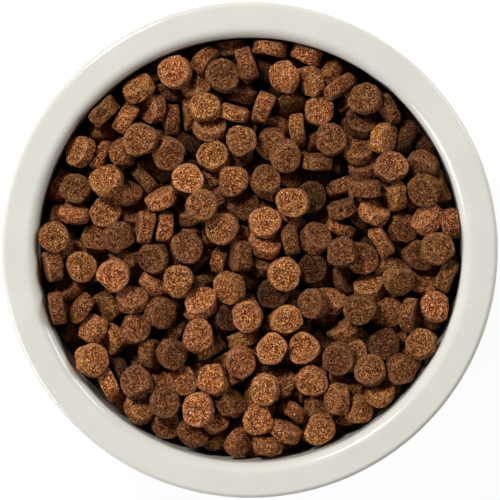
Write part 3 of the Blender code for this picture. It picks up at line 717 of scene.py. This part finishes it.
# Materials
class Nodes:
    """Short calls for building a material's nodes."""

    def __init__(self, name):
        self.material = bpy.data.materials.new(name)
        self.material.use_nodes = True
        self.tree = self.material.node_tree
        self.shader = self.tree.nodes["Principled BSDF"]
        self.output = self.tree.nodes["Material Output"]
        self.place = self.tree.nodes.new("ShaderNodeTexCoord").outputs["Object"]

    def link(self, source, target):
        self.tree.links.new(source, target)

    def noise(self, scale, detail, roughness):
        """Noise from 0 to 1, its scale in lumps to the metre."""
        node = self.tree.nodes.new("ShaderNodeTexNoise")
        node.inputs["Scale"].default_value = scale
        node.inputs["Detail"].default_value = detail
        node.inputs["Roughness"].default_value = roughness
        self.link(self.place, node.inputs["Vector"])
        return node.outputs["Fac"]

    def cells(self, scale):
        """Cells, so many to the metre."""
        node = self.tree.nodes.new("ShaderNodeTexVoronoi")
        node.inputs["Scale"].default_value = scale
        self.link(self.place, node.inputs["Vector"])
        return node

    def ramp(self, value, stops):
        """A colour, or a plain number, that runs with the value through the stops."""
        node = self.tree.nodes.new("ShaderNodeValToRGB")
        ramp = node.color_ramp
        while len(ramp.elements) < len(stops):
            ramp.elements.new(0.5)
        for element, (position, colour) in zip(ramp.elements, stops):
            element.position = position
            element.color = (*colour, 1) if isinstance(colour, tuple) else (colour, colour, colour, 1)
        self.link(value, node.inputs["Fac"])
        return node.outputs["Color"]

    def spots(self, scale, inner, outer, most):
        """Round spots in about a fifth of the cells, whole up to the inner radius and gone at the outer."""
        node = self.cells(scale)
        near = self.ramp(node.outputs["Distance"], [(inner, 1.0), (outer, 0.0)])
        picked = self.ramp(node.outputs["Color"], [(SPOTS_FROM, 0.0), (SPOTS_FULL, most)])
        return self.times(near, picked)

    def maths(self, operation, first, second):
        """The result of an operation on two values, each of them a number or another node's output."""
        node = self.tree.nodes.new("ShaderNodeMath")
        node.operation = operation
        for socket, value in zip(node.inputs, (first, second)):
            if isinstance(value, (int, float)):
                socket.default_value = value
            else:
                self.link(value, socket)
        return node.outputs["Value"]

    def add(self, first, second):
        return self.maths("ADD", first, second)

    def times(self, first, second):
        return self.maths("MULTIPLY", first, second)

    def mix(self, share, first, second, blend="MIX"):
        """The first colour with a share of the second."""
        node = self.tree.nodes.new("ShaderNodeMix")
        node.data_type = "RGBA"
        node.blend_type = blend
        for word, value in (("Factor", share), ("A", first), ("B", second)):
            socket = node.inputs[word]
            if isinstance(value, (int, float)):
                socket.default_value = value
            elif isinstance(value, tuple):
                socket.default_value = (*value, 1)
            else:
                self.link(value, socket)
        return node.outputs["Result"]

    def scaled(self, colour, factor):
        """The colour, darker or lighter by a factor."""
        node = self.tree.nodes.new("ShaderNodeVectorMath")
        node.operation = "SCALE"
        self.link(colour, node.inputs[0])
        self.link(factor, node.inputs["Scale"])
        return node.outputs["Vector"]

    def attribute(self, name):
        """A value that the mesh holds at its points."""
        node = self.tree.nodes.new("ShaderNodeAttribute")
        node.attribute_name = name
        return node.outputs["Fac"]

    def bump(self, height, distance, strength):
        """Lets the shader's light fall as if a height of 1 stood out by a distance in metres."""
        node = self.tree.nodes.new("ShaderNodeBump")
        node.inputs["Distance"].default_value = distance
        node.inputs["Strength"].default_value = strength
        self.link(height, node.inputs["Height"])
        self.link(node.outputs["Normal"], self.shader.inputs["Normal"])

    def diffuse(self, grey):
        """A plain matt surface."""
        node = self.tree.nodes.new("ShaderNodeBsdfDiffuse")
        node.inputs["Color"].default_value = (grey, grey, grey, 1)
        return node.outputs["BSDF"]


def food_material():
    """Baked meal: fine grain of tan, brown and dark crumbs, with dark pits partly of painted shade, a few
    pale specks partly painted as glints, edges painted paler as a highlight, and painted shade on pieces
    that lie deep.
    """
    n = Nodes("baked_food")
    grain = n.noise(scale=2500, detail=3, roughness=0.70)
    coarse = n.noise(scale=600, detail=2, roughness=0.55)
    patch = n.noise(scale=210, detail=2, roughness=0.5)
    crumbs = n.cells(scale=2900).outputs["Color"]
    level = n.add(n.times(grain, 0.60), n.times(crumbs, 0.26))
    level = n.add(level, n.times(coarse, 0.14))
    colour = n.ramp(level, [
        (0.37, (0.012, 0.0028, 0.0008)),
        (0.44, (0.090, 0.0240, 0.0064)),
        (0.50, (0.225, 0.0770, 0.0230)),
        (0.56, (0.385, 0.1610, 0.0590)),
        (0.62, (0.800, 0.4700, 0.2500)),
    ])
    # Painted highlight: the edge of every piece is painted paler all round
    edge_highlight = (0.54, 0.310, 0.190)
    colour = n.mix(n.times(n.attribute("edge"), 0.38), colour, edge_highlight)
    hue = n.noise(scale=330, detail=3, roughness=0.6)
    hue = n.add(n.times(hue, 0.5), n.times(n.attribute("hue"), 0.06))
    tints = n.ramp(hue, [(0.14, (1.0, 0.78, 0.72)), (0.36, (1.0, 0.90, 0.58))])
    colour = n.mix(1.0, colour, tints, "MULTIPLY")
    # Pale specks: partly the meal's own pale crumbs and partly painted glints; they are also glossier
    speck_and_glint = n.spots(scale=900, inner=0.13, outer=0.22, most=0.9)
    pale = (0.86, 0.66, 0.40)
    colour = n.mix(speck_and_glint, colour, pale)
    # Dark pits, also sunk by the bump: their own dark colour with painted shade in the hollow
    shaded_pit = n.spots(scale=700, inner=0.14, outer=0.34, most=1.0)
    dark = (0.014, 0.0035, 0.0012)
    colour = n.mix(n.times(shaded_pit, 0.8), colour, dark)
    # The tone attribute carries each piece's random tone and its painted shade for lying deep; the patch
    # noise adds random tone
    shade = n.add(n.times(n.attribute("tone"), 0.52), n.times(patch, 0.3))
    shade = n.add(shade, 1.00)
    n.link(n.scaled(colour, shade), n.shader.inputs["Base Color"])
    n.link(n.ramp(speck_and_glint, [(0.0, 0.84), (1.0, 0.30)]), n.shader.inputs["Roughness"])
    n.shader.inputs["Specular IOR Level"].default_value = 0.16
    height = n.maths("SUBTRACT", level, n.times(shaded_pit, 0.35))
    n.bump(height, distance=0.0009, strength=1.0)
    return n.material


def glaze_material():
    """Cream white gloss glaze with a faint mottle and orange peel."""
    n = Nodes("cream_glaze")
    mottle = n.noise(scale=55, detail=3, roughness=0.55)
    fine = n.noise(scale=900, detail=2, roughness=0.5)
    colour = n.ramp(n.add(n.times(mottle, 0.8), n.times(fine, 0.2)), [
        (0.34, (0.752, 0.742, 0.680)),
        (0.66, (0.788, 0.780, 0.726)),
    ])
    n.link(colour, n.shader.inputs["Base Color"])
    n.link(n.ramp(mottle, [(0.3, 0.11), (0.7, 0.17)]), n.shader.inputs["Roughness"])
    peel = n.noise(scale=260, detail=2, roughness=0.5)
    n.bump(peel, distance=0.00006, strength=0.5)
    return n.material


def clay_material():
    """Bare fired clay of the foot ring."""
    n = Nodes("bare_clay")
    grain = n.noise(scale=1900, detail=3, roughness=0.6)
    patch = n.noise(scale=160, detail=2, roughness=0.5)
    colour = n.ramp(n.add(n.times(grain, 0.6), n.times(patch, 0.4)), [
        (0.34, (0.300, 0.215, 0.140)),
        (0.50, (0.520, 0.420, 0.300)),
        (0.66, (0.640, 0.550, 0.430)),
    ])
    n.link(colour, n.shader.inputs["Base Color"])
    n.shader.inputs["Roughness"].default_value = 0.85
    n.bump(grain, distance=0.00015, strength=0.6)
    return n.material


def floor_material():
    """Plain pale floor that the camera sees as white, with the object's shadow kept."""
    n = Nodes("pale_floor")
    rays = n.tree.nodes.new("ShaderNodeLightPath")
    seen = n.maths("MAXIMUM", rays.outputs["Is Camera Ray"], rays.outputs["Is Glossy Ray"])
    seen = n.maths("MAXIMUM", seen, rays.outputs["Is Transmission Ray"])
    n.tree.nodes.remove(n.shader)
    glow = n.tree.nodes.new("ShaderNodeEmission")
    glow.inputs["Strength"].default_value = FLOOR_GLOW
    white = n.tree.nodes.new("ShaderNodeAddShader")
    n.link(n.diffuse(FLOOR_SEEN_GREY), white.inputs[0])
    n.link(glow.outputs["Emission"], white.inputs[1])
    choice = n.tree.nodes.new("ShaderNodeMixShader")
    n.link(seen, choice.inputs[0])
    n.link(n.diffuse(FLOOR_GREY), choice.inputs[1])
    n.link(white.outputs["Shader"], choice.inputs[2])
    n.link(choice.outputs["Shader"], n.output.inputs["Surface"])
    return n.material


# Pieces
def make_bowl():
    """The bowl as wide as the model's, glazed but for the foot ring."""
    low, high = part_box("bowl")
    rim_radius = (high[0] - low[0]) / 2
    mesh = turned_mesh("glazed_bowl", bowl_section(rim_radius))
    mesh.materials.append(glaze_material())
    mesh.materials.append(clay_material())
    for face in mesh.polygons:
        face.material_index = 1 if face.center.z < BARE_HEIGHT else 0
    bowl = in_scene("glazed_bowl", mesh)
    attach(bowl, "root")
    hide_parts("bowl")


def core_section():
    """Section of the core, which fills the bowl's hollow up to a shallow dome, and the dome's radius."""
    centre = fillet_centre()
    top = BOWL_HEIGHT - HEAP_TOP - HEAP_DEPTH
    fillet = rounded(centre, INSIDE_FILLET - CORE_GAP, -math.pi / 2, -WALL_LEAN, ARC_CELLS)
    edge = wall_radius(top - HEAP_FALL) - CORE_GAP / math.cos(WALL_LEAN)
    shares = [1 - k / CORE_RINGS for k in range(CORE_RINGS)]
    dome = [(edge * share, top - HEAP_FALL * share ** 2) for share in shares]
    section = joined_up([[(0, centre[1] - INSIDE_FILLET + CORE_GAP)], fillet, dome], CORE_CELLS)
    return section + [(0, top)], edge


def make_core(material):
    """The food under the lowest pieces that show, down to the bowl's bottom."""
    section, edge = core_section()
    mesh = turned_mesh("food_core", section)
    points = np.array([v.co[:] for v in mesh.vertices])
    on_top = points[:, 2] > section[-1][1] - HEAP_FALL - CORE_TOP_DEPTH
    inside = np.hypot(points[:, 0], points[:, 1]) < edge - CORE_CALM_EDGE
    rise = sum(lumps(points, size, seed) * depth for size, seed, depth in CORE_LUMPS)
    points[:, 2] += np.where(on_top & inside, rise, 0)
    mesh.vertices.foreach_set("co", points.ravel())
    # The core's tone is painted shade: it is painted dark, as food deep in the heap
    for word, value in (("tone", CORE_PAINTED_SHADE), ("hue", 0.0), ("edge", 0.0)):
        set_values(mesh, word, np.full(len(points), value))
    mesh.materials.append(material)
    core = in_scene("food_core", mesh)
    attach(core, "root")
    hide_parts("kibble_bed")


def make_food():
    """A body for each loose piece, bodies for the ones under them in a few groups, and the core."""
    material = food_material()
    names = [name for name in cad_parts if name.startswith("kibble_") and name != "kibble_bed"]
    for number, name in enumerate(sorted(names)):
        item = food_piece("food_" + name[-2:], [(number, node_piece(name))], FINE_CELLS, material)
        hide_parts(name)
    under = laid_out()
    shown = [(FIRST_UNDER + n, piece) for n, (piece, share) in enumerate(under) if share > SHOWN_SHARE]
    hidden = [(FIRST_UNDER + n, piece) for n, (piece, share) in enumerate(under) if share <= SHOWN_SHARE]
    shown.sort(key=lambda row: math.atan2(row[1].place[1], row[1].place[0]))
    size = math.ceil(len(shown) / BED_GROUPS)
    for group in range(BED_GROUPS):
        rows = shown[group * size:(group + 1) * size]
        item = food_piece(f"food_under_{group + 1}", rows, FINE_CELLS, material)
        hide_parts("kibble_bed")
    item = food_piece("food_deep", hidden, PLAIN_CELLS, material)
    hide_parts("kibble_bed")
    make_core(material)


# Studio
def make_floor():
    """A plain floor just under the foot ring."""
    half = FLOOR_HALF_WIDTH
    corners = [(-half, -half, 0), (half, -half, 0), (half, half, 0), (-half, half, 0)]
    mesh = bpy.data.meshes.new("floor")
    mesh.from_pydata(corners, [], [(0, 1, 2, 3)])
    mesh.materials.append(floor_material())
    floor = in_scene("floor", mesh)
    floor.location.z = -FLOOR_DROP


def make_world():
    """A faint soft light from all around, which the camera sees as white."""
    world = bpy.data.worlds.new("studio")
    world.use_nodes = True
    bpy.context.scene.world = world
    tree = world.node_tree
    soft = tree.nodes["Background"]
    soft.inputs["Color"].default_value = AROUND_COLOUR
    soft.inputs["Strength"].default_value = AROUND_STRENGTH
    white = tree.nodes.new("ShaderNodeBackground")
    white.inputs["Strength"].default_value = 1.0
    rays = tree.nodes.new("ShaderNodeLightPath")
    choice = tree.nodes.new("ShaderNodeMixShader")
    tree.links.new(rays.outputs["Is Camera Ray"], choice.inputs[0])
    tree.links.new(soft.outputs["Background"], choice.inputs[1])
    tree.links.new(white.outputs["Background"], choice.inputs[2])
    tree.links.new(choice.outputs["Shader"], tree.nodes["World Output"].inputs["Surface"])


def make_lamp(name, place, width, watts, colour):
    """A round soft lamp that points at the food."""
    data = bpy.data.lights.new(name, "AREA")
    data.shape = "DISK"
    data.size = width
    data.energy = watts
    data.color = colour
    lamp = in_scene(name, data)
    lamp.location = place
    x, y, z = (aim - own for aim, own in zip(LAMP_AIM, place))
    lamp.rotation_euler = (math.atan2(math.hypot(x, y), -z), 0, math.atan2(y, x) - math.pi / 2)


def make_camera():
    """The photograph's camera: almost straight above, a little toward the picture's top and right."""
    data = bpy.data.cameras.new("camera")
    data.lens_unit = "FOV"
    data.angle = 2 * math.atan(VIEW_HALF_WIDTH / CAMERA_DISTANCE)
    data.clip_start = CLIP_START
    camera = in_scene("camera", data)
    above = CAMERA_DISTANCE * math.cos(TOWARD_TOP)
    camera.location = (AIM_X + above * math.sin(TOWARD_RIGHT),
                       AIM_Y + CAMERA_DISTANCE * math.sin(TOWARD_TOP),
                       BOWL_HEIGHT + above * math.cos(TOWARD_RIGHT))
    camera.rotation_euler = (-TOWARD_TOP, TOWARD_RIGHT, 0)
    bpy.context.scene.camera = camera


make_bowl()
make_food()
make_floor()
make_world()
for lamp_row in LAMPS:
    make_lamp(*lamp_row)
make_camera()
bpy.context.scene.view_settings.view_transform = "Standard"
